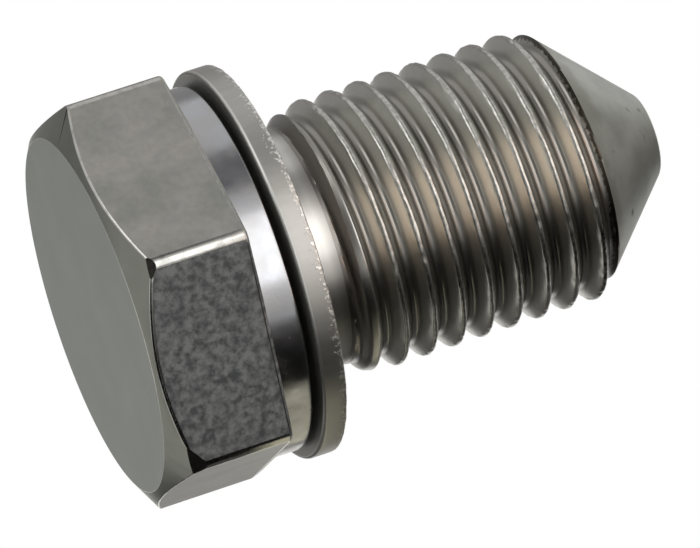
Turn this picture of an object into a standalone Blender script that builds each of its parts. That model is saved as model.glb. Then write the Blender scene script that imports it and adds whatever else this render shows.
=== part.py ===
"""Oil drain plug, M14 x 1.5 x 22, with a captive sealing washer.

The plug stands on the face of its hexagon head. The origin is the centre of that face and +Z runs up
the thread to the tip. Head, collar, neck, thread and point are one steel piece. The washer is a loose
ring on the neck: the thread that was rolled after it went on is wider than its bore, so it stays on.
"""

import math

import bmesh
import bpy

MM = 0.001

# Hexagon head, 19 mm spanner size
HEX_SIDES = 6
HEX_ACROSS_FLATS = 18.8 * MM
HEX_HEIGHT = 6.0 * MM
HEX_CORNER_RADIUS = 0.4 * MM
FACE_DIAMETER = 18.0 * MM
CHAMFER_ANGLE = math.radians(30)

# Collar under the head
COLLAR_DIAMETER = 18.6 * MM
COLLAR_THICKNESS = 1.6 * MM
COLLAR_EDGE = 0.12 * MM

# Shank, measured from the collar's underside
SHANK_LENGTH = 21.65 * MM
NECK_DIAMETER = 12.1 * MM
NECK_LENGTH = 3.6 * MM
NECK_FILLET = 0.25 * MM
POINT_ANGLE = math.radians(45)
POINT_DIAMETER = 4.1 * MM
POINT_EDGE = 0.6 * MM

# Rolled thread, right hand
THREAD_DIAMETER = 13.85 * MM
THREAD_PITCH = 1.5 * MM
THREAD_ROOT_DIAMETER = 12.16 * MM
THREAD_CREST_FLAT = 0.2 * MM
FLANK_ANGLE = math.radians(30)
RUNOUT_DROP = 0.37 * MM
RUNOUT_LENGTH = 1.2 * MM
GROOVE_START = 2.33 * MM

# Captive washer
WASHER_RING_WIDTH = 3.35 * MM
WASHER_THICKNESS = 1.25 * MM
WASHER_EDGE = 0.12 * MM
WASHER_SIDE_CLEARANCE = 0.5 * MM
WASHER_END_CLEARANCE = 0.3 * MM

# Facets, cutting margins and shading
ROUND_STEPS = 60
ARC_STEPS = 3
CUT_MARGIN = 1.0 * MM
MERGE_DISTANCE = 0.001 * MM
SHARP_ANGLE = math.radians(25)

# Heights and radii that follow from the sizes above
HEX_HALF_TURN = math.pi / HEX_SIDES
HEX_CORNER_REACH = HEX_ACROSS_FLATS / 2 / math.cos(HEX_HALF_TURN)
SHOULDER_Z = HEX_HEIGHT + COLLAR_THICKNESS
TIP_Z = SHOULDER_Z + SHANK_LENGTH
COLLAR_R = COLLAR_DIAMETER / 2
NECK_R = NECK_DIAMETER / 2
THREAD_R = THREAD_DIAMETER / 2
ROOT_R = THREAD_ROOT_DIAMETER / 2
POINT_R = POINT_DIAMETER / 2
CONE_Z = TIP_Z - (THREAD_R - POINT_R) / math.tan(POINT_ANGLE)


def clear_scene():
    for item in list(bpy.data.objects):
        bpy.data.objects.remove(item, do_unlink=True)


def new_collection(name):
    collection = bpy.data.collections.new(name)
    bpy.context.scene.collection.children.link(collection)
    return collection


def steel(name, colour, roughness):
    material = bpy.data.materials.new(name)
    material.use_nodes = True
    shader = material.node_tree.nodes["Principled BSDF"]
    shader.inputs["Base Color"].default_value = (*colour, 1.0)
    shader.inputs["Metallic"].default_value = 1.0
    shader.inputs["Roughness"].default_value = roughness
    return material


def add_object(name, mesh, collection):
    item = bpy.data.objects.new(name, mesh)
    collection.objects.link(item)
    return item


def finish(item, material):
    item.data.materials.clear()
    item.data.materials.append(material)
    item.data.shade_smooth()
    item.data.set_sharp_from_angle(angle=SHARP_ANGLE)


def hide_cutter(item):
    item.hide_render = True
    item.display_type = "WIRE"


def section_mesh(name, points, closed):
    """Edges through (radius, height) points in the XZ plane."""
    count = len(points)
    last = count if closed else count - 1
    mesh = bpy.data.meshes.new(name)
    vertices = [(radius, 0.0, height) for radius, height in points]
    edges = [(i, (i + 1) % count) for i in range(last)]
    mesh.from_pydata(vertices, edges, [])
    return mesh


def spin(item):
    """One full turn of the section about Z."""
    screw = item.modifiers.new("Turned", "SCREW")
    screw.axis = "Z"
    screw.angle = math.tau
    screw.steps = ROUND_STEPS
    screw.render_steps = ROUND_STEPS
    screw.use_merge_vertices = True
    screw.merge_threshold = MERGE_DISTANCE


def arc(centre, radius, start, end):
    """Points of a quarter round or less, both ends included; angles in radians from +X."""
    points = []
    for step in range(ARC_STEPS + 1):
        angle = start + (end - start) * step / ARC_STEPS
        points.append((centre[0] + radius * math.cos(angle), centre[1] + radius * math.sin(angle)))
    return points


def point_edge():
    """Round between the tip's flat and its cone."""
    turn = math.pi / 2 - POINT_ANGLE
    setback = POINT_EDGE * math.tan(turn / 2)
    centre = (POINT_R - setback, TIP_Z - POINT_EDGE)
    return arc(centre, POINT_EDGE, math.pi / 2, math.pi / 2 - turn)


def blank_outline():
    """Outer side of the turned blank, from the tip down into the head."""
    foot_z = SHOULDER_Z + NECK_LENGTH
    runout_r = THREAD_R - RUNOUT_DROP
    runout_z = foot_z + runout_r - NECK_R
    points = [(0.0, TIP_Z)]
    points += point_edge()
    points.append((THREAD_R, CONE_Z))
    points.append((THREAD_R, runout_z + RUNOUT_LENGTH))
    points.append((runout_r, runout_z))
    points.append((NECK_R, foot_z))
    fillet_centre = (NECK_R + NECK_FILLET, SHOULDER_Z + NECK_FILLET)
    points += arc(fillet_centre, NECK_FILLET, math.pi, 1.5 * math.pi)
    points.append((COLLAR_R - COLLAR_EDGE, SHOULDER_Z))
    points.append((COLLAR_R, SHOULDER_Z - COLLAR_EDGE))
    collar_foot_z = HEX_HEIGHT - COLLAR_THICKNESS / 2
    points.append((COLLAR_R, collar_foot_z))
    points.append((0.0, collar_foot_z))
    return points


def chamfer_outline():
    """Cone that takes the corners off the face end of the head."""
    outer_r = HEX_CORNER_REACH + CUT_MARGIN
    slope = math.tan(CHAMFER_ANGLE)
    outer_z = (outer_r - FACE_DIAMETER / 2) * slope
    inner_r = FACE_DIAMETER / 2 - CUT_MARGIN / slope
    top_z = HEX_HEIGHT + CUT_MARGIN
    return [
        (0.0, top_z),
        (outer_r, top_z),
        (outer_r, outer_z),
        (inner_r, -CUT_MARGIN),
        (0.0, -CUT_MARGIN),
    ]


def groove_section():
    """One groove between two crests, its flanks carried on past the crests for a clean cut."""
    mouth = (THREAD_PITCH - THREAD_CREST_FLAT) / 2
    root = mouth - (THREAD_R - ROOT_R) * math.tan(FLANK_ANGLE)
    spare = THREAD_CREST_FLAT / 4
    outer = mouth + spare
    outer_r = THREAD_R + spare / math.tan(FLANK_ANGLE)
    middle = SHOULDER_Z + GROOVE_START
    return [
        (outer_r, middle + outer),
        (ROOT_R, middle + root),
        (ROOT_R, middle - root),
        (outer_r, middle - outer),
    ]


def make_groove(collection):
    """Helical cutter: the groove's section wound up the shank and closed at both ends."""
    section = groove_section()
    draft = add_object("groove_draft", section_mesh("groove_draft", section, True), collection)
    rise = CONE_Z + (THREAD_R - ROOT_R) + THREAD_PITCH - SHOULDER_Z - GROOVE_START
    screw = draft.modifiers.new("Wound", "SCREW")
    screw.axis = "Z"
    screw.angle = math.tau
    screw.screw_offset = THREAD_PITCH
    screw.iterations = math.ceil(rise / THREAD_PITCH)
    screw.steps = ROUND_STEPS
    screw.render_steps = ROUND_STEPS
    evaluated = draft.evaluated_get(bpy.context.evaluated_depsgraph_get())
    mesh = bpy.data.meshes.new_from_object(evaluated)
    bpy.data.objects.remove(draft, do_unlink=True)
    shape = bmesh.new()
    shape.from_mesh(mesh)
    open_edges = [edge for edge in shape.edges if edge.is_boundary]
    bmesh.ops.holes_fill(shape, edges=open_edges, sides=len(section))
    bmesh.ops.recalc_face_normals(shape, faces=shape.faces)
    shape.to_mesh(mesh)
    shape.free()
    return add_object("thread_groove", mesh, collection)


def hexagon():
    """Upright hexagon bar with rounded corners; two flats face +X and -X."""
    shape = bmesh.new()
    bmesh.ops.create_cone(
        shape,
        cap_ends=True,
        segments=HEX_SIDES,
        radius1=HEX_CORNER_REACH,
        radius2=HEX_CORNER_REACH,
        depth=HEX_HEIGHT,
    )
    bmesh.ops.translate(shape, verts=shape.verts, vec=(0.0, 0.0, HEX_HEIGHT / 2))
    upright = []
    for edge in shape.edges:
        low, high = sorted(vertex.co.z for vertex in edge.verts)
        if high - low > HEX_HEIGHT / 2:
            upright.append(edge)
    corner_setback = HEX_CORNER_RADIUS * math.tan(HEX_HALF_TURN)
    bmesh.ops.bevel(
        shape,
        geom=upright,
        offset=corner_setback,
        offset_type="OFFSET",
        segments=ARC_STEPS,
        profile=0.5,
        affect="EDGES",
    )
    mesh = bpy.data.meshes.new("plug_body")
    shape.to_mesh(mesh)
    shape.free()
    return mesh


def combine(target, operation, tool, label):
    boolean = target.modifiers.new(label, "BOOLEAN")
    boolean.operation = operation
    boolean.solver = "EXACT"
    boolean.object = tool


def make_plug(parts, cutters):
    chamfer = add_object("face_chamfer", section_mesh("face_chamfer", chamfer_outline(), False), cutters)
    blank = add_object("turned_blank", section_mesh("turned_blank", blank_outline(), False), cutters)
    groove = make_groove(cutters)
    for tool in (chamfer, blank):
        spin(tool)
    for tool in (chamfer, blank, groove):
        hide_cutter(tool)
    plug = add_object("plug_body", hexagon(), parts)
    combine(plug, "INTERSECT", chamfer, "Face chamfer")
    combine(plug, "UNION", blank, "Collar and shank")
    combine(plug, "DIFFERENCE", groove, "Rolled thread")
    finish(plug, steel("satin_plated_steel", (0.30, 0.30, 0.28), 0.38))


def make_washer(parts):
    bore = NECK_R + WASHER_SIDE_CLEARANCE
    outer = bore + WASHER_RING_WIDTH
    low = SHOULDER_Z + WASHER_END_CLEARANCE
    high = low + WASHER_THICKNESS
    points = [
        (bore + WASHER_EDGE, high),
        (outer - WASHER_EDGE, high),
        (outer, high - WASHER_EDGE),
        (outer, low + WASHER_EDGE),
        (outer - WASHER_EDGE, low),
        (bore + WASHER_EDGE, low),
        (bore, low + WASHER_EDGE),
        (bore, high - WASHER_EDGE),
    ]
    washer = add_object("seal_washer", section_mesh("seal_washer", points, True), parts)
    spin(washer)
    finish(washer, steel("stamped_soft_steel", (0.38, 0.37, 0.35), 0.42))


def main():
    clear_scene()
    parts = new_collection("oil_drain_plug")
    cutters = new_collection("cutters")
    make_plug(parts, cutters)
    make_washer(parts)


main()
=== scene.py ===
"""Looks of an oil drain plug M14 x 1.5 x 22, of plated steel, with a captive steel washer.

The plug stands on its hexagon head and the thread points up, as in the CAD model. Pieces are modelled in
millimetres and brought to metres when they are finished.
"""

import math

import bmesh
import bpy
import numpy as np
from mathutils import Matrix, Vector, noise


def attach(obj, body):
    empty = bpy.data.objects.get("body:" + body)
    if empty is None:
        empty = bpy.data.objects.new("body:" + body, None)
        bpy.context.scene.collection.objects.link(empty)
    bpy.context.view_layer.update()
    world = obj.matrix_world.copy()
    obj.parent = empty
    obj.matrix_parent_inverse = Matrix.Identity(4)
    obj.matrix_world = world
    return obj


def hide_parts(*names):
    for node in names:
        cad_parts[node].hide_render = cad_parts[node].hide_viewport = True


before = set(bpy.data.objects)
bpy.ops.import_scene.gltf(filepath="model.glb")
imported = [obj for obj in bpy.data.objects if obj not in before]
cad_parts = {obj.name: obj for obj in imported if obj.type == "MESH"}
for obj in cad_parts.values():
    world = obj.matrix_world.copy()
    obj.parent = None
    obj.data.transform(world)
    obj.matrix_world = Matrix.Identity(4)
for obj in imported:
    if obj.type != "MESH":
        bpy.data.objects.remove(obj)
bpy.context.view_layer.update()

MM = 0.001

# Hexagon head
ACROSS_FLATS = 18.8
HEAD_HEIGHT = 6.0
CORNER_ROUND = 0.62
CORNER_STEPS = 10
FACE_RADIUS = 9.0
CHAMFER_ANGLE = math.radians(30)
SOILED_FLAT = -60.0

# Turn from one side of the hexagon to the next, in degrees, and how far out its corners reach
SIDE_TURN = 60.0
HALF_SIDE = SIDE_TURN / 2
HALF_SIDE_TURN = math.pi / 6
HEX_REACH = ACROSS_FLATS / 2 / math.cos(HALF_SIDE_TURN)

# How far the chamfer's cone goes past the head, and the shortest edge that the cuts may leave
CUT_BELOW = 0.5
CUT_ABOVE = 1.0
SLIVER = 0.02

# Worn edges of the head: how wide each kind is, and how much a width wanders
WIDEST_EDGE = 0.4
FACE_EDGE = 0.035
LEAST_FACE_SHARE = 0.3
ARC_EDGE = 0.04
UPPER_ARC_EDGE = 0.085
FRONT_ARC_EDGE = 0.14
REAR_EDGE = 0.02
REAR_CORNER_EDGE = 0.22
EDGE_STEPS = 4
EDGE_WANDER = 0.35
EDGE_WANDER_SIZE = 0.8

# Where they are worn most, in degrees: azimuth of the middle, reach to each side and fade at the end.
# The back corners start and fade in degrees from the middle of the nearest flat.
FACE_STRETCH = (-88.0, 45.0, 15.0)
FRONT_ARC_STRETCH = (-60.0, 38.0, 16.0)
UPPER_ARC_STRETCH = (-120.0, 36.0, 10.0)
REAR_CORNER_START, REAR_CORNER_FADE = 18.0, 8.0

# Nicks at two corners of the head: azimuth and lean of the face each leaves, and how deep it goes
NICKS = [((-38.0, -27.0), 0.24), ((-84.0, -32.0), 0.13)]

# The head's finishes, and how nearly a normal has to fit for a face to be told by it
END_SLOT, CHAMFER_SLOT, FLAT_SLOT, EDGE_SLOT, NICK_SLOT = range(5)
LEVEL = 0.999
LEAN_SLACK = 0.05
CHAMFER_SLACK = 0.01
NICK_MATCH = 0.995

# Collar and neck
COLLAR_RADIUS = 9.3
COLLAR_TOP = 7.6
COLLAR_EDGE = 0.12
NECK_RADIUS = 6.05
NECK_FILLET = 0.25
NECK_END = 11.2

# Rolled thread
PITCH = 1.5
THREAD_RADIUS = 6.925
ROOT_RADIUS = 6.08
CREST_ROUND = 0.173
ROOT_ROUND = 0.28
FLANK_STEPS = 4
CREST_WANDER = 0.035
CREST_WANDER_SIZE = 0.9
CREST_NICK = 0.05
CREST_NICK_SIZE = 0.35
FIRST_GROOVE = 8.43
THREAD_TURNS = 12
THREAD_FOOT = 11.0
THREAD_TOP = 25.4
CONE_FOOT = 5.9
CONE_BLEND = 0.06
RUNOUT_BLEND = 0.18
RUNOUT_FOOT = 11.705
RUNOUT_RADIUS = 6.555
RUNOUT_END = 12.905
RUNOUT_BLEND_END = 14.0
CLEAR_FOOT = 13.2
CLEAR_END = 24.1
CLEAR_RADIUS = 7.2

# Height and radius that the rolled steel can reach: the run-out by the neck, a stretch where nothing
# holds the crests in, then the point's cone
THREAD_LIMIT = [
    (THREAD_FOOT, NECK_RADIUS), (NECK_END, NECK_RADIUS), (RUNOUT_FOOT, RUNOUT_RADIUS),
    (RUNOUT_END, THREAD_RADIUS), (CLEAR_FOOT, CLEAR_RADIUS), (CLEAR_END, CLEAR_RADIUS),
    (THREAD_TOP, CONE_FOOT),
]

# Height plus radius, which is the same all over the point's cone
CONE_REACH = THREAD_TOP + CONE_FOOT

# Painted shade at the foot of the thread, on the neck and on the thread's first turn
FOOT_SHADE_TONE = "#6C6864"

# Point
POINT_ANGLE = 45.0
CONE_STEP = 0.1
TIP_TOP = 29.25
TIP_RADIUS = 2.05
TIP_ROUND = 0.6

# Washer
BORE_RADIUS = 6.55
RIM_RADIUS = 9.9
WASHER_FOOT = 7.9
WASHER_TOP = 9.15
BORE_EDGE = 0.1
DIE_ROLL = 0.18
BURR_WIDTH = 0.12
BURR_HEIGHT = 0.03
BURR_SIZE = 0.5
TORN_BAND = 0.5
# Painted shade on the washer's face and rolled edge by the collar, in the gap between them
COLLAR_GAP_SHADE_TONE = "#6C6C67"

# Turned shapes, seams and shading
ROUND_STEPS = 240
MERGE = 0.0005
SEAM_SLACK = 0.01
SMOOTH_ANGLE = math.radians(20)
NORMAL_WEIGHT = 80


def srgb(code):
    """Linear colour of an sRGB hex value."""
    parts = [int(code[i:i + 2], 16) / 255 for i in (1, 3, 5)]
    linear = [p / 12.92 if p <= 0.04045 else ((p + 0.055) / 1.055) ** 2.4 for p in parts]
    return (*linear, 1.0)


def grain(size):
    """Texture scale whose features are that many millimetres wide."""
    return 1.0 / (size * MM)


def feed(node, inputs):
    """Give a node its inputs: a value is set on the socket and another node's output is linked to it."""
    for socket, value in inputs.items():
        if isinstance(value, bpy.types.NodeSocket):
            node.id_data.links.new(value, node.inputs[socket])
        else:
            node.inputs[socket].default_value = value


def add(material, kind, inputs, **settings):
    """Add one node to a material, with its settings and inputs."""
    node = material.node_tree.nodes.new(kind)
    for name, value in settings.items():
        setattr(node, name, value)
    feed(node, inputs)
    return node


def metal(name):
    """A bare metal material and its shader, which keeps the default IOR."""
    material = bpy.data.materials.new(name)
    material.use_nodes = True
    shader = material.node_tree.nodes["Principled BSDF"]
    shader.inputs["Metallic"].default_value = 1.0
    return material, shader


def deselect():
    bpy.ops.object.select_all(action="DESELECT")


def pick(*pieces):
    """Select these pieces alone, the first of them active."""
    deselect()
    for piece in pieces:
        piece.select_set(True)
    bpy.context.view_layer.objects.active = pieces[0]


def outline(name, points):
    """A chain of edges in the XZ plane, drawn by extruding its end from point to point."""
    deselect()
    bpy.ops.mesh.primitive_plane_add(size=1.0, location=(0.0, 0.0, 0.0))
    piece = bpy.context.object
    piece.name = name
    bpy.ops.object.mode_set(mode="EDIT")
    bpy.ops.mesh.select_mode(type="VERT")
    bpy.ops.mesh.select_all(action="SELECT")
    bpy.ops.mesh.merge(type="CENTER")
    bpy.ops.transform.translate(value=(points[0][0], 0.0, points[0][1]))
    for here, there in zip(points, points[1:]):
        step = (there[0] - here[0], 0.0, there[1] - here[1])
        bpy.ops.mesh.extrude_vertices_move(TRANSFORM_OT_translate={"value": step})
    bpy.ops.object.mode_set(mode="OBJECT")
    return piece


def turned(name, points):
    """A shape turned on the lathe: its outline spun once round Z."""
    piece = outline(name, points)
    bpy.ops.object.mode_set(mode="EDIT")
    bpy.ops.mesh.select_all(action="SELECT")
    bpy.ops.mesh.spin(steps=ROUND_STEPS, angle=math.tau, center=(0.0, 0.0, 0.0), axis=(0.0, 0.0, 1.0))
    bpy.ops.mesh.select_all(action="SELECT")
    bpy.ops.mesh.remove_doubles(threshold=MERGE)
    bpy.ops.object.mode_set(mode="OBJECT")
    return piece


def arc(centre, radius, start, end, steps=5):
    """Points on an arc, both ends included; angles in degrees from +X towards +Z."""
    points = []
    for i in range(steps + 1):
        angle = math.radians(start + (end - start) * i / steps)
        points.append((centre[0] + radius * math.cos(angle), centre[1] + radius * math.sin(angle)))
    return points


def way(start, end, steps):
    """Points evenly spaced between two others, which are left out."""
    shares = [step / (steps + 1) for step in range(1, steps + 1)]
    return [(start[0] + (end[0] - start[0]) * s, start[1] + (end[1] - start[1]) * s) for s in shares]


def select_faces(piece, wanted):
    """Select only the faces for which wanted(centre, normal) holds, in edit mode."""
    shape = bmesh.from_edit_mesh(piece.data)
    bpy.ops.mesh.select_all(action="DESELECT")
    bpy.ops.mesh.select_mode(type="FACE")
    for face in shape.faces:
        face.select_set(wanted(face.calc_center_median(), face.normal))
    shape.select_flush_mode()
    bmesh.update_edit_mesh(piece.data)


def select_edges(piece, wanted):
    """Select only the edges for which wanted(middle, [normals of its faces]) holds, in edit mode."""
    shape = bmesh.from_edit_mesh(piece.data)
    shape.normal_update()
    bpy.ops.mesh.select_all(action="DESELECT")
    bpy.ops.mesh.select_mode(type="EDGE")
    for edge in shape.edges:
        middle = (edge.verts[0].co + edge.verts[1].co) / 2
        edge.select_set(wanted(middle, [face.normal for face in edge.link_faces]))
    shape.select_flush_mode()
    bmesh.update_edit_mesh(piece.data)


def share(value, full):
    """How far a value has come towards full, between 0 and 1."""
    return min(1.0, max(0.0, value / full))


def worn_at(azimuth, stretch):
    """How fully an azimuth lies in a worn stretch, between 0 and 1."""
    middle, reach, fade = stretch
    return share(reach - abs(azimuth - middle), fade)


def weigh_edges(head):
    """Set how wide each edge of the head is worn: unevenly, most at the front and at the back corners."""
    shape = bmesh.from_edit_mesh(head.data)
    shape.normal_update()
    weights = shape.edges.layers.float.new("bevel_weight_edge")
    chamfer_lean = -math.cos(CHAMFER_ANGLE)
    for edge in shape.edges:
        leans = sorted(face.normal.z for face in edge.link_faces)
        middle = (edge.verts[0].co + edge.verts[1].co) / 2
        azimuth = math.degrees(math.atan2(middle.y, middle.x))
        uneven = 1.0 + EDGE_WANDER * noise.noise(middle / EDGE_WANDER_SIZE)
        if abs(leans[0] + 1.0) < LEAN_SLACK and abs(leans[1] - chamfer_lean) < LEAN_SLACK:
            width = FACE_EDGE * max(LEAST_FACE_SHARE, worn_at(azimuth, FACE_STRETCH))
        elif abs(leans[0] - chamfer_lean) < LEAN_SLACK and abs(leans[1]) < LEAN_SLACK:
            front = (FRONT_ARC_EDGE - ARC_EDGE) * worn_at(azimuth, FRONT_ARC_STRETCH)
            upper = (UPPER_ARC_EDGE - ARC_EDGE) * worn_at(azimuth, UPPER_ARC_STRETCH)
            width = uneven * (ARC_EDGE + max(front, upper))
        elif abs(leans[0]) < LEAN_SLACK and abs(leans[1] - 1.0) < LEAN_SLACK:
            from_flat = abs((azimuth + HALF_SIDE) % SIDE_TURN - HALF_SIDE)
            corner = share(from_flat - REAR_CORNER_START, REAR_CORNER_FADE)
            width = REAR_EDGE + (REAR_CORNER_EDGE - REAR_EDGE) * corner
        else:
            width = 0.0
        edge[weights] = width / WIDEST_EDGE
    bmesh.update_edit_mesh(head.data)


def nick_planes():
    """A point and the normal of each nick's face, at the corner of the hexagon nearest to it."""
    planes = []
    reach = HEX_REACH - CORNER_ROUND * (1 / math.cos(HALF_SIDE_TURN) - 1)
    height = (reach - FACE_RADIUS) * math.tan(CHAMFER_ANGLE)
    for (azimuth, lean), depth in NICKS:
        corner = math.radians(SIDE_TURN * round((azimuth - HALF_SIDE) / SIDE_TURN) + HALF_SIDE)
        tip = Vector((reach * math.cos(corner), reach * math.sin(corner), height))
        normal = direction(azimuth, lean)
        planes.append((tip - normal * depth, normal))
    return planes


def direction(azimuth, height):
    """Unit vector at an azimuth and height in degrees."""
    azimuth, height = math.radians(azimuth), math.radians(height)
    flat = math.cos(height)
    return Vector((flat * math.cos(azimuth), flat * math.sin(azimuth), math.sin(height)))


def model_head(finishes):
    """Forged hexagon: corners rounded, face chamfered, edges eased, open at the back for the collar."""
    deselect()
    bpy.ops.mesh.primitive_cylinder_add(
        vertices=6, radius=HEX_REACH, depth=HEAD_HEIGHT, location=(0.0, 0.0, HEAD_HEIGHT / 2)
    )
    head = bpy.context.object
    head.name = "hexagon_head"
    for finish in finishes:
        head.data.materials.append(finish)
    bpy.ops.object.transform_apply(location=True, rotation=True, scale=True)
    bpy.ops.object.mode_set(mode="EDIT")
    select_edges(head, lambda middle, normals: max(abs(normal.z) for normal in normals) < LEAN_SLACK)
    bpy.ops.mesh.bevel(
        offset=CORNER_ROUND * math.tan(HALF_SIDE_TURN), segments=CORNER_STEPS, profile=0.5,
        affect="EDGES", material=EDGE_SLOT,
    )
    bpy.ops.object.mode_set(mode="OBJECT")

    slope = 1.0 / math.tan(CHAMFER_ANGLE)
    low, high = -CUT_BELOW, HEAD_HEIGHT + CUT_ABOVE
    deselect()
    bpy.ops.mesh.primitive_cone_add(
        vertices=ROUND_STEPS, radius1=FACE_RADIUS + low * slope, radius2=FACE_RADIUS + high * slope,
        depth=high - low, location=(0.0, 0.0, (high + low) / 2),
    )
    cone = bpy.context.object
    cone.name = "chamfer_cone"
    pick(head)
    chamfer = head.modifiers.new("Chamfer", "BOOLEAN")
    chamfer.operation = "INTERSECT"
    chamfer.solver = "EXACT"
    chamfer.object = cone
    bpy.ops.object.modifier_apply(modifier="Chamfer")
    bpy.data.objects.remove(cone, do_unlink=True)

    bpy.ops.object.mode_set(mode="EDIT")
    nicks = nick_planes()
    for place, normal in nicks:
        bpy.ops.mesh.select_all(action="SELECT")
        bpy.ops.mesh.bisect(plane_co=place, plane_no=normal, use_fill=True, clear_outer=True)
    bpy.ops.mesh.select_all(action="SELECT")
    bpy.ops.mesh.remove_doubles(threshold=SLIVER)
    weigh_edges(head)
    bpy.ops.object.mode_set(mode="OBJECT")
    worn = head.modifiers.new("Worn edges", "BEVEL")
    worn.limit_method = "WEIGHT"
    worn.width = WIDEST_EDGE
    worn.segments = EDGE_STEPS
    worn.material = EDGE_SLOT
    worn.use_clamp_overlap = False
    bpy.ops.object.modifier_apply(modifier="Worn edges")
    bpy.ops.object.mode_set(mode="EDIT")
    select_faces(head, lambda centre, normal: normal.z > LEVEL)
    bpy.ops.mesh.delete(type="ONLY_FACE")
    bpy.ops.object.mode_set(mode="OBJECT")
    for face in head.data.polygons:
        if face.normal.z < -LEVEL:
            face.material_index = END_SLOT
        elif abs(face.normal.z + math.cos(CHAMFER_ANGLE)) < CHAMFER_SLACK:
            face.material_index = CHAMFER_SLOT
        elif max(face.normal.dot(normal) for _, normal in nicks) > NICK_MATCH:
            face.material_index = NICK_SLOT
        elif face.material_index != EDGE_SLOT or face.normal.z > LEAN_SLACK:
            face.material_index = FLAT_SLOT
    return head


def model_collar(collar, neck):
    """Round collar and plain neck, from the back of the hexagon to the foot of the thread."""
    points = [(COLLAR_RADIUS, HEAD_HEIGHT)]
    points += [(COLLAR_RADIUS, COLLAR_TOP - 2 * COLLAR_EDGE)]
    points += arc((COLLAR_RADIUS - COLLAR_EDGE, COLLAR_TOP - COLLAR_EDGE), COLLAR_EDGE, 0, 90)
    points += [(COLLAR_RADIUS - 3 * COLLAR_EDGE, COLLAR_TOP), (NECK_RADIUS + 2 * NECK_FILLET, COLLAR_TOP)]
    points += arc((NECK_RADIUS + NECK_FILLET, COLLAR_TOP + NECK_FILLET), NECK_FILLET, 270, 180)
    points += [(NECK_RADIUS, COLLAR_TOP + 2 * NECK_FILLET), (NECK_RADIUS, THREAD_FOOT)]
    piece = turned("collar_and_neck", points)
    piece.data.materials.append(collar)
    piece.data.materials.append(neck)
    for face in piece.data.polygons:
        radius = math.hypot(face.center.x, face.center.y)
        face.material_index = 0 if radius > COLLAR_RADIUS - COLLAR_EDGE else 1
    return piece


def model_thread(rolled, point):
    """Rolled right-hand thread: one section wound up the shank, then held to what rolling fills."""
    low_root = (ROOT_RADIUS + ROOT_ROUND, FIRST_GROOVE)
    high_root = (ROOT_RADIUS + ROOT_ROUND, FIRST_GROOVE + PITCH)
    crest = (THREAD_RADIUS - CREST_ROUND, FIRST_GROOVE + PITCH / 2)
    rise = arc(low_root, ROOT_ROUND, 180, 120, steps=4)
    top = arc(crest, CREST_ROUND, -60, 60, steps=8)
    fall = arc(high_root, ROOT_ROUND, 240, 180, steps=4)
    points = rise + way(rise[-1], top[0], FLANK_STEPS) + top + way(top[-1], fall[0], FLANK_STEPS) + fall
    piece = outline("thread", points)
    winding = piece.modifiers.new("Winding", "SCREW")
    winding.axis = "Z"
    winding.angle = math.tau
    winding.screw_offset = PITCH
    winding.iterations = THREAD_TURNS
    winding.steps = ROUND_STEPS
    winding.render_steps = ROUND_STEPS
    bpy.ops.object.modifier_apply(modifier="Winding")

    places = np.empty(len(piece.data.vertices) * 3)
    piece.data.vertices.foreach_get("co", places)
    places = places.reshape(-1, 3)
    height = np.clip(places[:, 2], THREAD_FOOT, THREAD_TOP)
    radius = np.hypot(places[:, 0], places[:, 1])
    limit = np.interp(height, [z for z, _ in THREAD_LIMIT], [r for _, r in THREAD_LIMIT])
    blend = np.where(height < RUNOUT_BLEND_END, RUNOUT_BLEND, CONE_BLEND)
    close = np.clip(blend - np.abs(radius - limit), 0.0, None) / blend
    held = np.minimum(radius, limit) - close * close * blend / 4
    held = np.where((height <= NECK_END) | (height >= THREAD_TOP), limit, held)
    for index in np.flatnonzero(held > THREAD_RADIUS - CREST_ROUND / 2):
        spot = Vector(places[index])
        height[index] += CREST_WANDER * noise.noise(spot / CREST_WANDER_SIZE)
        held[index] -= CREST_NICK * max(0.0, noise.noise(spot / CREST_NICK_SIZE))
    places[:, :2] *= (held / radius)[:, None]
    places[:, 2] = height
    piece.data.vertices.foreach_set("co", places.ravel())
    piece.data.update()
    piece.data.materials.append(rolled)
    piece.data.materials.append(point)
    for face in piece.data.polygons:
        radius = math.hypot(face.center.x, face.center.y)
        face.material_index = 1 if radius + face.center.z > CONE_REACH - CONE_BLEND / 3 else 0
    return piece


def model_point(point):
    """Cone and rounded tip above the thread."""
    setback = TIP_ROUND * math.tan(math.radians(POINT_ANGLE / 2))
    centre = (TIP_RADIUS - setback, TIP_TOP - TIP_ROUND)
    points = [(CONE_FOOT, THREAD_TOP), (CONE_FOOT - CONE_STEP, THREAD_TOP + CONE_STEP)]
    points += arc(centre, TIP_ROUND, POINT_ANGLE, 90, steps=8)
    points += [(TIP_RADIUS / 3, TIP_TOP), (0.0, TIP_TOP)]
    piece = turned("point", points)
    piece.data.materials.append(point)
    return piece


def join(pieces, name):
    """Join pieces into the first and close the seams between them."""
    pick(*pieces)
    bpy.ops.object.join()
    whole = bpy.context.object
    whole.name = name
    bpy.ops.object.mode_set(mode="EDIT")
    bpy.ops.mesh.select_mode(type="VERT")
    bpy.ops.mesh.select_all(action="SELECT")
    bpy.ops.mesh.remove_doubles(threshold=MERGE)
    bpy.ops.mesh.dissolve_degenerate(threshold=MERGE / 10)
    bpy.ops.object.mode_set(mode="OBJECT")
    return whole


def close_back(plug):
    """Fill the flat ring between the hexagon's back edge and the collar."""
    bpy.ops.object.mode_set(mode="EDIT")
    select_edges(
        plug, lambda middle, normals: len(normals) == 1 and abs(middle.z - HEAD_HEIGHT) < SEAM_SLACK
    )
    bpy.ops.mesh.bridge_edge_loops()
    bpy.ops.mesh.select_all(action="SELECT")
    bpy.ops.mesh.normals_make_consistent(inside=False)
    bpy.ops.object.mode_set(mode="OBJECT")


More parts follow.
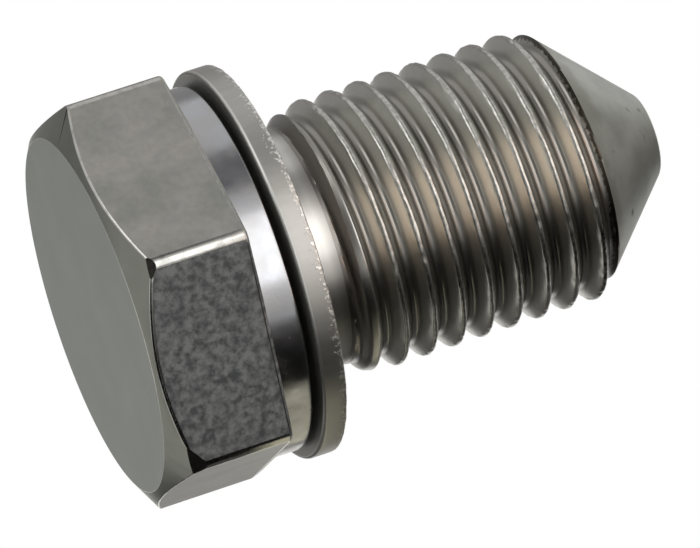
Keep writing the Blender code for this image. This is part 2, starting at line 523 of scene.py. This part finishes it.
def finish_piece(piece, body, node):
    """Bring a piece to metres, smooth it and put it on its body in the CAD node's place."""
    pick(piece)
    piece.scale = (MM, MM, MM)
    bpy.ops.object.transform_apply(location=True, rotation=True, scale=True)
    bpy.ops.object.shade_smooth_by_angle(angle=SMOOTH_ANGLE)
    even = piece.modifiers.new("Even shading", "WEIGHTED_NORMAL")
    even.mode = "FACE_AREA_WITH_ANGLE"
    even.keep_sharp = True
    even.weight = NORMAL_WEIGHT
    bpy.ops.object.modifier_apply(modifier="Even shading")
    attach(piece, body)
    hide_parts(node)


def upset_face():
    """Zinc plate on the upset end face: an even satin grey with faint smudges and fine specks."""
    material, shader = metal("zinc_plated_upset_face")
    place = add(material, "ShaderNodeTexCoord", {}).outputs["Object"]
    smudge = add(material, "ShaderNodeTexNoise", {"Vector": place, "Scale": grain(3.2), "Detail": 5.0})
    tone = add(material, "ShaderNodeMix", {
        "Factor": smudge.outputs["Fac"], "A": srgb("#686B64"), "B": srgb("#797C74"),
    }, data_type="RGBA")
    speck = add(material, "ShaderNodeTexNoise", {"Vector": place, "Scale": grain(0.16), "Detail": 2.0})
    bump = add(material, "ShaderNodeBump", {
        "Height": speck.outputs["Fac"], "Strength": 0.35, "Distance": 0.012 * MM,
    })
    feed(shader, {
        "Base Color": tone.outputs["Result"], "Roughness": 0.45, "Normal": bump.outputs["Normal"],
    })
    return material


def pressed_chamfer():
    """Chamfer pressed by the forging die: smoother and darker than the end face."""
    material, shader = metal("zinc_plated_pressed_chamfer")
    place = add(material, "ShaderNodeTexCoord", {}).outputs["Object"]
    smudge = add(material, "ShaderNodeTexNoise", {"Vector": place, "Scale": grain(1.6), "Detail": 4.0})
    tone = add(material, "ShaderNodeMix", {
        "Factor": smudge.outputs["Fac"], "A": srgb("#6B6D66"), "B": srgb("#7E8078"),
    }, data_type="RGBA")
    grit = add(material, "ShaderNodeTexNoise", {"Vector": place, "Scale": grain(0.2), "Detail": 3.0})
    bump = add(material, "ShaderNodeBump", {
        "Height": grit.outputs["Fac"], "Strength": 0.3, "Distance": 0.012 * MM,
    })
    feed(shader, {
        "Base Color": tone.outputs["Result"], "Roughness": 0.36, "Normal": bump.outputs["Normal"],
    })
    return material


def forged_flat():
    """Plated spanner flat as forged, finely grained; one is bluer and soiled with soft dark blotches."""
    material, shader = metal("zinc_plated_forged_flat")
    place = add(material, "ShaderNodeTexCoord", {}).outputs["Object"]
    outward = add(material, "ShaderNodeVectorMath", {
        0: place, 1: direction(SOILED_FLAT, 0.0),
    }, operation="DOT_PRODUCT")
    side = add(material, "ShaderNodeMapRange", {
        "Value": outward.outputs["Value"], "From Min": (ACROSS_FLATS / 2 - 0.15) * MM,
        "From Max": (ACROSS_FLATS / 2 - 0.03) * MM,
    })
    smudge = add(material, "ShaderNodeTexNoise", {"Vector": place, "Scale": grain(2.4), "Detail": 5.0})
    cloud = add(material, "ShaderNodeMapRange", {
        "Value": smudge.outputs["Fac"], "From Min": 0.36, "From Max": 0.64,
    })
    grey = add(material, "ShaderNodeMix", {
        "Factor": cloud.outputs["Result"], "A": srgb("#8B8C86"), "B": srgb("#9C9994"),
    }, data_type="RGBA")
    plate = add(material, "ShaderNodeMix", {
        "Factor": side.outputs["Result"], "A": grey.outputs["Result"], "B": srgb("#9C9F9F"),
    }, data_type="RGBA")
    blotch = add(material, "ShaderNodeTexNoise", {
        "Vector": place, "Scale": grain(0.4), "Detail": 6.0, "Roughness": 0.62,
    })
    soil = add(material, "ShaderNodeMapRange", {
        "Value": blotch.outputs["Fac"], "From Min": 0.39, "From Max": 0.62,
    })
    most = add(material, "ShaderNodeMapRange", {
        "Value": side.outputs["Result"], "To Min": 0.15, "To Max": 0.75,
    })
    soiled = add(material, "ShaderNodeMath", {
        0: soil.outputs["Result"], 1: most.outputs["Result"],
    }, operation="MULTIPLY")
    tone = add(material, "ShaderNodeMix", {
        "Factor": soiled.outputs["Value"], "A": plate.outputs["Result"], "B": srgb("#585C5D"),
    }, data_type="RGBA")
    rough = add(material, "ShaderNodeMapRange", {
        "Value": soiled.outputs["Value"], "To Min": 0.42, "To Max": 0.34,
    })
    pits = add(material, "ShaderNodeTexNoise", {"Vector": place, "Scale": grain(0.24), "Detail": 4.0})
    bump = add(material, "ShaderNodeBump", {
        "Height": pits.outputs["Fac"], "Strength": 0.25, "Distance": 0.02 * MM,
    })
    feed(shader, {
        "Base Color": tone.outputs["Result"], "Roughness": rough.outputs["Result"],
        "Normal": bump.outputs["Normal"],
    })
    return material


def nicked_corner():
    """Nick in a corner of the head, painted nearly black: partly dirt caught in it, partly painted shade.
    """
    material, shader = metal("dirt_and_shade_nick_steel")
    place = add(material, "ShaderNodeTexCoord", {}).outputs["Object"]
    # Painted shade: the nick's faces are coloured nearly black, partly for dirt caught in them.
    dirt_and_shade = add(material, "ShaderNodeTexNoise", {"Vector": place, "Scale": grain(0.3), "Detail": 4.0})
    tone = add(material, "ShaderNodeMix", {
        "Factor": dirt_and_shade.outputs["Fac"], "A": srgb("#1C1B19"), "B": srgb("#4A4844"),
    }, data_type="RGBA")
    bump = add(material, "ShaderNodeBump", {
        "Height": dirt_and_shade.outputs["Fac"], "Strength": 0.4, "Distance": 0.03 * MM,
    })
    feed(shader, {
        "Base Color": tone.outputs["Result"], "Roughness": 0.45, "Normal": bump.outputs["Normal"],
    })
    return material


def rubbed_edge():
    """Edges rubbed bright and smooth by handling, where the plate is polished down to the steel."""
    material, shader = metal("rubbed_steel_edge")
    place = add(material, "ShaderNodeTexCoord", {}).outputs["Object"]
    rub = add(material, "ShaderNodeTexNoise", {"Vector": place, "Scale": grain(0.5), "Detail": 4.0})
    wear = add(material, "ShaderNodeMapRange", {
        "Value": rub.outputs["Fac"], "From Min": 0.38, "From Max": 0.52,
    })
    tone = add(material, "ShaderNodeMix", {
        "Factor": wear.outputs["Result"], "A": srgb("#92918C"), "B": srgb("#A5A49F"),
    }, data_type="RGBA")
    bump = add(material, "ShaderNodeBump", {
        "Height": rub.outputs["Fac"], "Strength": 0.2, "Distance": 0.02 * MM,
    })
    feed(shader, {
        "Base Color": tone.outputs["Result"], "Roughness": 0.2, "Normal": bump.outputs["Normal"],
    })
    return material


def burnished_collar():
    """Collar burnished by the die: nearly a mirror, with small dull stains and a faint blue tinge."""
    material, shader = metal("burnished_steel_collar")
    place = add(material, "ShaderNodeTexCoord", {}).outputs["Object"]
    stain = add(material, "ShaderNodeTexNoise", {"Vector": place, "Scale": grain(1.3), "Detail": 4.0})
    rough = add(material, "ShaderNodeMapRange", {
        "Value": stain.outputs["Fac"], "From Min": 0.3, "From Max": 0.7, "To Min": 0.17, "To Max": 0.3,
    })
    tone = add(material, "ShaderNodeMix", {
        "Factor": stain.outputs["Fac"], "A": srgb("#9C9FA6"), "B": srgb("#989590"),
    }, data_type="RGBA")
    dent = add(material, "ShaderNodeTexNoise", {"Vector": place, "Scale": grain(0.7), "Detail": 3.0})
    bump = add(material, "ShaderNodeBump", {
        "Height": dent.outputs["Fac"], "Strength": 0.3, "Distance": 0.012 * MM,
    })
    feed(shader, {
        "Base Color": tone.outputs["Result"], "Roughness": rough.outputs["Result"],
        "Normal": bump.outputs["Normal"],
    })
    return material


def turned_neck():
    """Neck left smooth by the lathe, with a soft sheen, and painted shade towards the thread, where it
    meets the first crest.
    """
    material, shader = metal("turned_steel_neck")
    place = add(material, "ShaderNodeTexCoord", {}).outputs["Object"]
    haze = add(material, "ShaderNodeTexNoise", {"Vector": place, "Scale": grain(1.2), "Detail": 4.0})
    tone = add(material, "ShaderNodeMix", {
        "Factor": haze.outputs["Fac"], "A": srgb("#A3A19D"), "B": srgb("#BAB8B3"),
    }, data_type="RGBA")
    height = add(material, "ShaderNodeSeparateXYZ", {"Vector": place})
    # Painted shade: darker towards the foot of the thread, where the neck meets the first crest.
    neck_foot_shade = add(material, "ShaderNodeMapRange", {
        "Value": height.outputs["Z"], "From Min": (NECK_END - 0.7) * MM, "From Max": NECK_END * MM,
        "To Max": 0.8,
    })
    foot_shaded = add(material, "ShaderNodeMix", {
        "Factor": neck_foot_shade.outputs["Result"], "A": tone.outputs["Result"], "B": srgb(FOOT_SHADE_TONE),
    }, data_type="RGBA")
    feed(shader, {"Base Color": foot_shaded.outputs["Result"], "Roughness": 0.32})
    return material


def rolled_thread():
    """Thread rolled between dies: smooth flanks, darker roots, crests rubbed bright and nicked, painted
    shade at its foot and a painted shadow in its last groove by the cone.
    """
    material, shader = metal("rolled_steel_thread")
    place = add(material, "ShaderNodeTexCoord", {}).outputs["Object"]
    across = add(material, "ShaderNodeVectorMath", {0: place, 1: (1.0, 1.0, 0.0)}, operation="MULTIPLY")
    radius = add(material, "ShaderNodeVectorMath", {0: across.outputs["Vector"]}, operation="LENGTH")
    haze = add(material, "ShaderNodeTexNoise", {"Vector": place, "Scale": grain(0.8), "Detail": 4.0})
    steel = add(material, "ShaderNodeMix", {
        "Factor": haze.outputs["Fac"], "A": srgb("#ABAAA4"), "B": srgb("#B9B8B1"),
    }, data_type="RGBA")
    # Darker towards the roots of the thread.
    off_root = add(material, "ShaderNodeMapRange", {
        "Value": radius.outputs["Value"], "From Min": (ROOT_RADIUS + 0.04) * MM,
        "From Max": (ROOT_RADIUS + 0.3) * MM,
    })
    dull = add(material, "ShaderNodeMix", {
        "Factor": off_root.outputs["Result"], "A": srgb("#827F7A"), "B": steel.outputs["Result"],
    }, data_type="RGBA")
    crest = add(material, "ShaderNodeMapRange", {
        "Value": radius.outputs["Value"], "From Min": (THREAD_RADIUS - 0.12) * MM,
        "From Max": (THREAD_RADIUS - 0.04) * MM,
    })
    nicks = add(material, "ShaderNodeTexNoise", {"Vector": place, "Scale": grain(0.26), "Detail": 4.0})
    worn = add(material, "ShaderNodeMapRange", {
        "Value": nicks.outputs["Fac"], "From Min": 0.44, "From Max": 0.56,
    })
    crest_tone = add(material, "ShaderNodeMix", {
        "Factor": worn.outputs["Result"], "A": srgb("#96958F"), "B": srgb("#AAA9A4"),
    }, data_type="RGBA")
    tone = add(material, "ShaderNodeMix", {
        "Factor": crest.outputs["Result"], "A": dull.outputs["Result"], "B": crest_tone.outputs["Result"],
    }, data_type="RGBA")
    height = add(material, "ShaderNodeSeparateXYZ", {"Vector": place})
    # Painted shade at the foot of the thread, by the neck.
    thread_foot_shade = add(material, "ShaderNodeMapRange", {
        "Value": height.outputs["Z"], "From Min": (NECK_END + 0.6) * MM, "From Max": (NECK_END + 1.1) * MM,
        "To Min": 0.8, "To Max": 0.0,
    })
    foot_shaded = add(material, "ShaderNodeMix", {
        "Factor": thread_foot_shade.outputs["Result"], "A": tone.outputs["Result"], "B": srgb(FOOT_SHADE_TONE),
    }, data_type="RGBA")
    # Painted shadow in the last groove, where the thread runs into the cone, with a ragged edge.
    outward = add(material, "ShaderNodeMath", {0: radius.outputs["Value"], 1: height.outputs["Z"]})
    wander = add(material, "ShaderNodeMath", {
        0: nicks.outputs["Fac"], 1: 0.8 * MM, 2: outward.outputs["Value"],
    }, operation="MULTIPLY_ADD")
    last_groove_shadow = add(material, "ShaderNodeMapRange", {
        "Value": wander.outputs["Value"], "From Min": (CONE_REACH - 0.02) * MM,
        "From Max": (CONE_REACH + 0.14) * MM,
    })
    groove_shadowed = add(material, "ShaderNodeMix", {
        "Factor": last_groove_shadow.outputs["Result"], "A": foot_shaded.outputs["Result"], "B": srgb("#45423D"),
    }, data_type="RGBA")
    nick_height = add(material, "ShaderNodeMath", {
        0: nicks.outputs["Fac"], 1: crest.outputs["Result"],
    }, operation="MULTIPLY")
    bump = add(material, "ShaderNodeBump", {
        "Height": nick_height.outputs["Value"], "Strength": 0.3, "Distance": 0.03 * MM,
    })
    feed(shader, {
        "Base Color": groove_shadowed.outputs["Result"], "Roughness": 0.28, "Normal": bump.outputs["Normal"],
    })
    return material


def headed_point():
    """Point pressed to a cone: matt grey, faintly smudged and specked, with a brown stain by the thread."""
    material, shader = metal("zinc_plated_pressed_point")
    place = add(material, "ShaderNodeTexCoord", {}).outputs["Object"]
    cloud = add(material, "ShaderNodeTexNoise", {"Vector": place, "Scale": grain(2.6), "Detail": 5.0})
    clouded = add(material, "ShaderNodeMapRange", {
        "Value": cloud.outputs["Fac"], "From Min": 0.36, "From Max": 0.64,
    })
    tone = add(material, "ShaderNodeMix", {
        "Factor": clouded.outputs["Result"], "A": srgb("#8E908A"), "B": srgb("#A3A59F"),
    }, data_type="RGBA")
    height = add(material, "ShaderNodeSeparateXYZ", {"Vector": place})
    seep = add(material, "ShaderNodeMath", {
        0: cloud.outputs["Fac"], 1: 3.0 * MM, 2: height.outputs["Z"],
    }, operation="MULTIPLY_ADD")
    stain = add(material, "ShaderNodeMapRange", {
        "Value": seep.outputs["Value"], "From Min": (THREAD_TOP + 1.2) * MM,
        "From Max": (THREAD_TOP + 1.9) * MM, "To Min": 0.35, "To Max": 0.0,
    })
    stained = add(material, "ShaderNodeMix", {
        "Factor": stain.outputs["Result"], "A": tone.outputs["Result"], "B": srgb("#6E675A"),
    }, data_type="RGBA")
    speck = add(material, "ShaderNodeTexNoise", {"Vector": place, "Scale": grain(0.7), "Detail": 0.0})
    dark = add(material, "ShaderNodeMapRange", {
        "Value": speck.outputs["Fac"], "From Min": 0.79, "From Max": 0.9,
    })
    specked = add(material, "ShaderNodeMix", {
        "Factor": dark.outputs["Result"], "A": stained.outputs["Result"], "B": srgb("#5E5D58"),
    }, data_type="RGBA")
    bump = add(material, "ShaderNodeBump", {
        "Height": speck.outputs["Fac"], "Strength": 0.2, "Distance": 0.012 * MM,
    })
    feed(shader, {
        "Base Color": specked.outputs["Result"], "Roughness": 0.5, "Normal": bump.outputs["Normal"],
    })
    return material


def stamped_face():
    """Flat sides of the stamped ring: dull satin, with painted shade on the side by the collar."""
    material, shader = metal("stamped_steel_face")
    place = add(material, "ShaderNodeTexCoord", {}).outputs["Object"]
    haze = add(material, "ShaderNodeTexNoise", {"Vector": place, "Scale": grain(1.0), "Detail": 4.0})
    satin = add(material, "ShaderNodeMix", {
        "Factor": haze.outputs["Fac"], "A": srgb("#A3A29E"), "B": srgb("#B5B4B0"),
    }, data_type="RGBA")
    height = add(material, "ShaderNodeSeparateXYZ", {"Vector": place})
    # Painted shade on the side by the collar, across the narrow gap.
    collar_gap_shade = add(material, "ShaderNodeMapRange", {
        "Value": height.outputs["Z"], "From Min": WASHER_FOOT * MM, "From Max": (WASHER_FOOT + 0.3) * MM,
        "To Min": 0.9, "To Max": 0.0,
    })
    tone = add(material, "ShaderNodeMix", {
        "Factor": collar_gap_shade.outputs["Result"], "A": satin.outputs["Result"], "B": srgb(COLLAR_GAP_SHADE_TONE),
    }, data_type="RGBA")
    feed(shader, {"Base Color": tone.outputs["Result"], "Roughness": 0.5})
    return material


def die_rolled_edge():
    """Front edge of the ring, drawn round by the stamping die: bright scuffed satin, then painted shade by
    the collar.
    """
    material, shader = metal("die_rolled_steel_edge")
    place = add(material, "ShaderNodeTexCoord", {}).outputs["Object"]
    scuff = add(material, "ShaderNodeTexNoise", {"Vector": place, "Scale": grain(0.5), "Detail": 5.0})
    satin = add(material, "ShaderNodeMix", {
        "Factor": scuff.outputs["Fac"], "A": srgb("#A3A29E"), "B": srgb("#C2C1BD"),
    }, data_type="RGBA")
    height = add(material, "ShaderNodeSeparateXYZ", {"Vector": place})
    # Painted shade on the edge's side by the collar, with a ragged border.
    ragged = add(material, "ShaderNodeMath", {
        0: scuff.outputs["Fac"], 1: -0.12 * MM, 2: height.outputs["Z"],
    }, operation="MULTIPLY_ADD")
    collar_gap_shade = add(material, "ShaderNodeMapRange", {
        "Value": ragged.outputs["Value"], "From Min": (WASHER_FOOT - 0.03) * MM,
        "From Max": (WASHER_FOOT + 0.05) * MM, "To Min": 0.9, "To Max": 0.0,
    })
    tone = add(material, "ShaderNodeMix", {
        "Factor": collar_gap_shade.outputs["Result"], "A": satin.outputs["Result"], "B": srgb(COLLAR_GAP_SHADE_TONE),
    }, data_type="RGBA")
    bump = add(material, "ShaderNodeBump", {
        "Height": scuff.outputs["Fac"], "Strength": 0.3, "Distance": 0.015 * MM,
    })
    feed(shader, {
        "Base Color": tone.outputs["Result"], "Roughness": 0.4, "Normal": bump.outputs["Normal"],
    })
    return material


def sheared_rim():
    """Rim cut by the stamping tool: satin and faintly dragged in front, torn into small flecks behind."""
    material, shader = metal("sheared_steel_rim")
    place = add(material, "ShaderNodeTexCoord", {}).outputs["Object"]
    drawn = add(material, "ShaderNodeMapping", {"Vector": place, "Scale": (1.0, 1.0, 0.25)})
    drag = add(material, "ShaderNodeTexNoise", {
        "Vector": drawn.outputs["Vector"], "Scale": grain(0.5), "Detail": 4.0,
    })
    satin = add(material, "ShaderNodeMix", {
        "Factor": drag.outputs["Fac"], "A": srgb("#8F8E8A"), "B": srgb("#A1A09C"),
    }, data_type="RGBA")
    height = add(material, "ShaderNodeSeparateXYZ", {"Vector": place})
    reach = add(material, "ShaderNodeMapRange", {
        "Value": height.outputs["Z"], "From Min": (WASHER_TOP - 2 * TORN_BAND) * MM,
        "From Max": WASHER_TOP * MM, "To Min": -0.35, "To Max": 0.1,
    })
    tear = add(material, "ShaderNodeTexNoise", {"Vector": place, "Scale": grain(0.17), "Detail": 5.0})
    torn = add(material, "ShaderNodeMath", {
        0: tear.outputs["Fac"], 1: reach.outputs["Result"],
    }, operation="ADD")
    flecks = add(material, "ShaderNodeMapRange", {
        "Value": torn.outputs["Value"], "From Min": 0.53, "From Max": 0.63,
    })
    tone = add(material, "ShaderNodeMix", {
        "Factor": flecks.outputs["Result"], "A": satin.outputs["Result"], "B": srgb("#C6C5C1"),
    }, data_type="RGBA")
    bump = add(material, "ShaderNodeBump", {
        "Height": flecks.outputs["Result"], "Strength": 0.6, "Distance": 0.015 * MM,
    })
    feed(shader, {
        "Base Color": tone.outputs["Result"], "Roughness": 0.4, "Normal": bump.outputs["Normal"],
    })
    return material


def model_washer(face, edge, rim):
    """Stamped ring: rolled over at the front edge by the die, with a low burr at the back edge."""
    points = [(BORE_RADIUS, WASHER_FOOT + BORE_EDGE), (BORE_RADIUS, WASHER_TOP - BORE_EDGE)]
    points += [(BORE_RADIUS + BORE_EDGE, WASHER_TOP), (RIM_RADIUS - 2 * BURR_WIDTH, WASHER_TOP)]
    points += arc((RIM_RADIUS - BURR_WIDTH, WASHER_TOP - BURR_WIDTH), BURR_WIDTH, 90, 0, steps=6)
    points += way(points[-1], (RIM_RADIUS, WASHER_FOOT + DIE_ROLL), 3)
    points += arc((RIM_RADIUS - DIE_ROLL, WASHER_FOOT + DIE_ROLL), DIE_ROLL, 0, -90, steps=9)
    points += [(BORE_RADIUS + BORE_EDGE, WASHER_FOOT), points[0]]
    piece = turned("washer_ring", points)
    for material in (face, edge, rim):
        piece.data.materials.append(material)
    for polygon in piece.data.polygons:
        radius = math.hypot(polygon.center.x, polygon.center.y)
        in_front = polygon.center.z < WASHER_FOOT + DIE_ROLL
        if radius < RIM_RADIUS - (DIE_ROLL if in_front else BURR_WIDTH):
            polygon.material_index = 0
        else:
            polygon.material_index = 1 if in_front else 2
    for vertex in piece.data.vertices:
        if vertex.co.z > WASHER_TOP - BURR_WIDTH / 2 and vertex.co.xy.length > RIM_RADIUS - BURR_WIDTH:
            vertex.co.z += BURR_HEIGHT * noise.noise(vertex.co / BURR_SIZE)
    pick(piece)
    bpy.ops.object.mode_set(mode="EDIT")
    bpy.ops.mesh.select_all(action="SELECT")
    bpy.ops.mesh.normals_make_consistent(inside=False)
    bpy.ops.object.mode_set(mode="OBJECT")
    return piece


# Camera at the photograph's view, fitted to the head's corners, the thread and the outline
CAMERA_PLACE = (0.05215, -0.38366, -0.08555)
CAMERA_TURN = (129.0933, -67.0183, -29.3464)
CAMERA_LENS = 420.95
SENSOR_WIDTH = 36.0

# Light. A softbox or card stands at an azimuth and height seen from the plug, both in degrees, at a
# distance in metres. Its width and height are in degrees too; a softbox has its radiance and colour.
SOFTBOXES = [
    ("key_softbox", (-88.5, 14.0), 0.5, (41.0, 20.0), 2.3, "#FFFFFF"),
    ("warm_softbox", (-85.0, 44.0), 0.5, (54.0, 30.0), 1.9, "#FFE1CB"),
    ("low_softbox", (-142.0, -30.0), 0.5, (26.0, 40.0), 1.7, "#FFFFFF"),
]
CARDS = [
    ("black_card", (-10.2, -5.0), 0.5, (69.4, 60.0), "#050505"),
    ("dim_hood", (-18.0, 44.0), 0.5, (64.0, 44.0), "#3C3C3C"),
    ("black_skirt", (-17.0, -56.0), 0.5, (54.0, 42.0), "#050505"),
    ("dark_card", (45.0, 0.0), 0.48, (50.0, 80.0), "#5C5C5C"),
    ("camera_card", (-86.0, -30.0), 0.5, (40.0, 50.0), "#9E9E9E"),
    ("flag", (-141.0, 14.0), 0.5, (30.0, 24.0), "#7E7E80"),
    ("back_card", (127.0, -12.0), 0.5, (46.0, 96.0), "#9E9E9E"),
    ("low_card", (67.0, -15.5), 0.47, (38.0, 29.0), "#50504E"),
    ("ground_card", (66.0, -51.0), 0.47, (44.0, 40.0), "#F4F4F2"),
    ("side_card", (91.0, 17.0), 0.47, (34.0, 36.0), "#FFFFFC"),
    ("right_hood", (60.0, 62.0), 0.47, (34.0, 26.0), "#424240"),
    ("top_card", (90.0, 84.0), 0.5, (40.0, 28.0), "#606060"),
    ("bounce_card", (16.2, 26.2), 0.0256, (50.0, 6.5), "#FFFAE0"),
]

# Floor: its side in metres, and how far it lies under the head's face
FLOOR_SIZE = 6.0
FLOOR_DROP = 0.3


def place_round_plug(item, aim, distance, size):
    """Set a softbox or card on its stand, facing the plug, and give its width and height in metres."""
    towards = direction(*aim)
    item.location = towards * distance
    item.rotation_euler = towards.to_track_quat("Z", "Y").to_euler()
    return [2 * distance * math.tan(math.radians(angle) / 2) for angle in size]


def set_camera():
    """Camera where the photograph was taken from."""
    turn = [math.radians(angle) for angle in CAMERA_TURN]
    bpy.ops.object.camera_add(location=CAMERA_PLACE, rotation=turn)
    camera = bpy.context.object
    camera.data.lens = CAMERA_LENS
    camera.data.sensor_width = SENSOR_WIDTH
    bpy.context.scene.camera = camera


def set_light():
    """White world at a plain level, and three softboxes."""
    world = bpy.data.worlds.new("white_studio")
    world.use_nodes = True
    feed(world.node_tree.nodes["Background"], {"Color": srgb("#FFFFFF"), "Strength": 1.0})
    bpy.context.scene.world = world

    for name, aim, distance, size, radiance, colour in SOFTBOXES:
        bpy.ops.object.light_add(type="AREA")
        softbox = bpy.context.object
        softbox.name = name
        width, height = place_round_plug(softbox, aim, distance, size)
        softbox.data.shape = "RECTANGLE"
        softbox.data.size = width
        softbox.data.size_y = height
        softbox.data.color = srgb(colour)[:3]
        softbox.data.energy = radiance * math.pi * width * height


def hang_cards():
    """Cards that only reflections see, as the steel in the photograph mirrors dark and grey things."""
    for name, aim, distance, size, tone in CARDS:
        deselect()
        bpy.ops.mesh.primitive_plane_add(size=1.0)
        card = bpy.context.object
        card.name = name
        card.scale = (*place_round_plug(card, aim, distance, size), 1.0)
        paper = bpy.data.materials.new(name)
        paper.use_nodes = True
        feed(paper.node_tree.nodes["Principled BSDF"], {
            "Base Color": srgb(tone), "Roughness": 1.0, "Specular IOR Level": 0.0,
        })
        card.data.materials.append(paper)
        card.visible_camera = False
        card.visible_diffuse = False
        card.visible_transmission = False
        card.visible_shadow = False


def lay_floor():
    """Pale floor that is clear from below, where the photograph's camera is."""
    deselect()
    bpy.ops.mesh.primitive_plane_add(size=FLOOR_SIZE, location=(0.0, 0.0, -FLOOR_DROP * MM))
    floor = bpy.context.object
    floor.name = "floor"
    pale = bpy.data.materials.new("pale_floor")
    pale.use_nodes = True
    nodes = pale.node_tree.nodes
    paint = nodes["Principled BSDF"]
    feed(paint, {"Base Color": srgb("#F3F3F3"), "Roughness": 1.0, "Specular IOR Level": 0.0})
    side = add(pale, "ShaderNodeNewGeometry", {})
    clear = add(pale, "ShaderNodeBsdfTransparent", {})
    mix = add(pale, "ShaderNodeMixShader", {
        0: side.outputs["Backfacing"], 1: paint.outputs[0], 2: clear.outputs[0],
    })
    feed(nodes["Material Output"], {"Surface": mix.outputs[0]})
    floor.data.materials.append(pale)
    floor.visible_glossy = False
    floor.visible_diffuse = False
    floor.visible_transmission = False
    floor.visible_shadow = False


bpy.context.scene.view_settings.view_transform = "Standard"
set_camera()
set_light()
hang_cards()
lay_floor()

edge = rubbed_edge()
tip = headed_point()
head = model_head([upset_face(), pressed_chamfer(), forged_flat(), edge, nicked_corner()])
collar = model_collar(burnished_collar(), turned_neck())
thread = model_thread(rolled_thread(), tip)
point = model_point(tip)
plug = join([head, collar, thread, point], "drain_plug")
close_back(plug)
finish_piece(plug, "plug", "plug_body")

washer = model_washer(stamped_face(), die_rolled_edge(), sheared_rim())
finish_piece(washer, "washer", "seal_washer")
